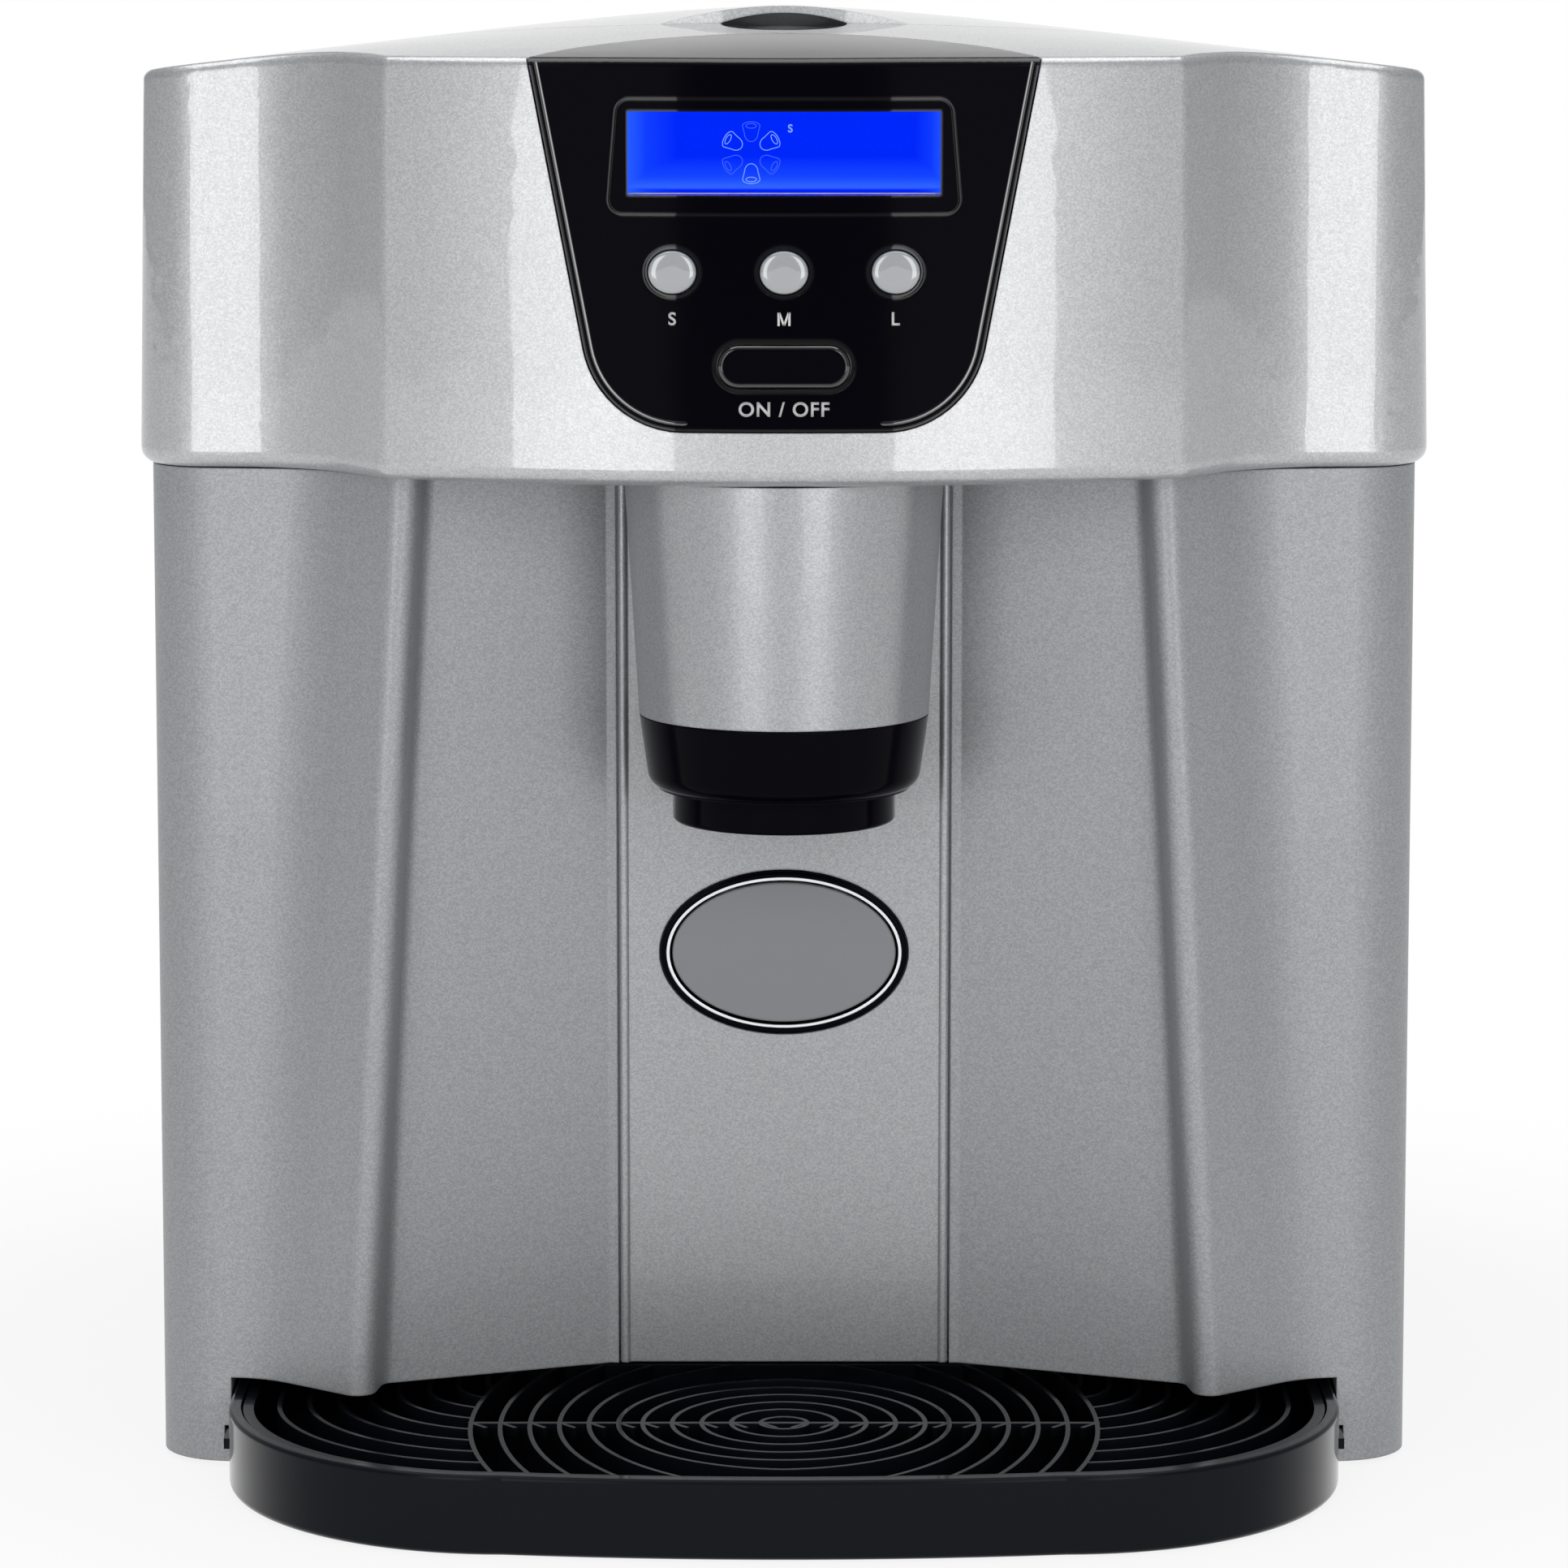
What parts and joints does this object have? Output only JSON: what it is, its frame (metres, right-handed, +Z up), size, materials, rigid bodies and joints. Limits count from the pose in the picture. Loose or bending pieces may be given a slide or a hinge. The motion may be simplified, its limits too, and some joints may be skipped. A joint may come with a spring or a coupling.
{
  "type": "ice cube maker",
  "caption": "Counter-top ice maker with a dispenser bay, a lift-up lid, a sliding drip tray and its working parts inside.",
  "frame": {"origin": "on the counter under the middle of the whole object", "axes": "+Z up, the front with the bay and the buttons towards -Y, +X to the right seen from the front"},
  "size_m": [0.361, 0.4209, 0.4115],
  "materials": {
    "housing_silver": "silver metallic lacquer with fine flake",
    "panel_silver": "satin silver lacquer",
    "rear_grey": "satin grey powder coat",
    "zinc": "zinc plated sheet",
    "steel": "stainless, fine grain",
    "screw_steel": "plated screw heads",
    "black_rubber": "matte",
    "fascia_black": "high gloss black",
    "lens_clear": "clear polished window",
    "lcd_blue": "lit blue display",
    "board_green": "circuit board",
    "button_grey": "pearl grey gloss",
    "button_black": "gloss black",
    "tray_black": "gloss black",
    "chrome_trim": "bright chrome",
    "paddle_grey": "satin grey",
    "white_plastic": "food-safe white moulding",
    "grey_plastic": "satin grey moulding",
    "black_plastic": "satin black moulding",
    "foam": "insulating foam",
    "nickel": "nickel plated",
    "compressor_black": "gloss black enamel",
    "aluminium": "mill finish fins",
    "copper": "drawn copper tube",
    "clear_hose": "milky silicone hose",
    "tank_white": "translucent white tank"
  },
  "bodies": {
    "housing": {"head_housing": "housing_silver", "body_housing": "housing_silver", "bay_panel": "panel_silver", "rear_panel": "rear_grey", "base_pan": "zinc", "feet": "black_rubber", "rear_screws": "screw_steel", "lid_hinge_pins": "steel", "control_fascia": "fascia_black", "lcd_lens": "lens_clear", "lcd_display": "lcd_blue", "control_board": "board_green", "button_switches": "black_plastic", "spout_cover": "housing_silver", "spout_nozzle": "tray_black", "ice_chute": "grey_plastic", "gate_pin": "steel", "paddle_bezel": "tray_black", "paddle_trim": "chrome_trim", "paddle_pin": "steel", "paddle_bracket": "black_plastic", "paddle_switch": "black_plastic", "ice_bin": "white_plastic", "bin_foam": "foam", "auger_motor": "zinc", "support_frame": "zinc", "ice_unit_frame": "grey_plastic", "tray_motor": "zinc", "evaporator": "nickel", "ice_ramp": "white_plastic", "compressor": "compressor_black", "compressor_mounts": "black_rubber", "condenser": "aluminium", "fan_shroud": "black_plastic", "fan_motor": "zinc", "refrigerant_lines": "copper", "filter_drier": "copper", "gas_valve": "zinc", "water_tank": "tank_white", "water_pump": "black_plastic", "water_hoses": "clear_hose", "drain_pipe": "clear_hose", "power_inlet": "black_plastic", "main_board": "board_green", "ice_sensor": "black_plastic"},
    "lid": {"lid": "housing_silver", "lid_liner": "white_plastic"},
    "tray": {"drip_tray": "tray_black", "drip_grille": "tray_black"},
    "paddle": {"paddle": "paddle_grey", "paddle_spring": "steel"},
    "button_s": {"button_s": "button_grey"},
    "button_m": {"button_m": "button_grey"},
    "button_l": {"button_l": "button_grey"},
    "power_button": {"power_button": "button_black"},
    "gate": {"ice_gate": "grey_plastic"},
    "auger": {"auger": "steel"},
    "fan": {"fan": "black_plastic"},
    "water_tray": {"water_tray": "white_plastic"},
    "drain_cap": {"drain_cap": "black_rubber"}
  },
  "joints": [
    {"name": "lid_hinge", "type": "hinge", "parent": "housing", "child": "lid", "pos_m": [0, 0.134, 0.39256], "axis": [-1, 0, 0], "range_deg": [0, 78]},
    {"name": "tray_slide", "type": "slide", "parent": "housing", "child": "tray", "axis": [0, -1, 0], "range_m": [0, 0.12]},
    {"name": "paddle_hinge", "type": "hinge", "parent": "housing", "child": "paddle", "pos_m": [0, -0.0904, 0.176], "axis": [1, 0, 0], "range_deg": [0, 5], "stiffness_Nm_per_rad": 0.35, "springref_deg": -5.73},
    {"name": "button_s_press", "type": "slide", "parent": "housing", "child": "button_s", "axis": [0, 1, 0], "range_m": [0, 0.0012], "stiffness_N_per_m": 400, "springref_m": -0.002},
    {"name": "button_m_press", "type": "slide", "parent": "housing", "child": "button_m", "axis": [0, 1, 0], "range_m": [0, 0.0012], "stiffness_N_per_m": 400, "springref_m": -0.002},
    {"name": "button_l_press", "type": "slide", "parent": "housing", "child": "button_l", "axis": [0, 1, 0], "range_m": [0, 0.0012], "stiffness_N_per_m": 400, "springref_m": -0.002},
    {"name": "power_button_press", "type": "slide", "parent": "housing", "child": "power_button", "axis": [0, 1, 0], "range_m": [0, 0.0012], "stiffness_N_per_m": 400, "springref_m": -0.002},
    {"name": "gate_hinge", "type": "hinge", "parent": "housing", "child": "gate", "pos_m": [0, -0.103, 0.2666], "axis": [-1, 0, 0], "range_deg": [0, 60], "stiffness_Nm_per_rad": 0.02, "springref_deg": -20.05},
    {"name": "auger_spin", "type": "hinge", "parent": "housing", "child": "auger", "pos_m": [0, 0, 0.243], "axis": [0, 1, 0], "continuous": true},
    {"name": "fan_spin", "type": "hinge", "parent": "housing", "child": "fan", "pos_m": [-0.132, 0.112, 0.078], "axis": [1, 0, 0], "continuous": true},
    {"name": "water_tray_hinge", "type": "hinge", "parent": "housing", "child": "water_tray", "pos_m": [0, 0.15, 0.362], "axis": [1, 0, 0], "range_deg": [0, 72]},
    {"name": "drain_cap_slide", "type": "slide", "parent": "housing", "child": "drain_cap", "axis": [0, 1, 0], "range_m": [0, 0.03]}
  ]
}
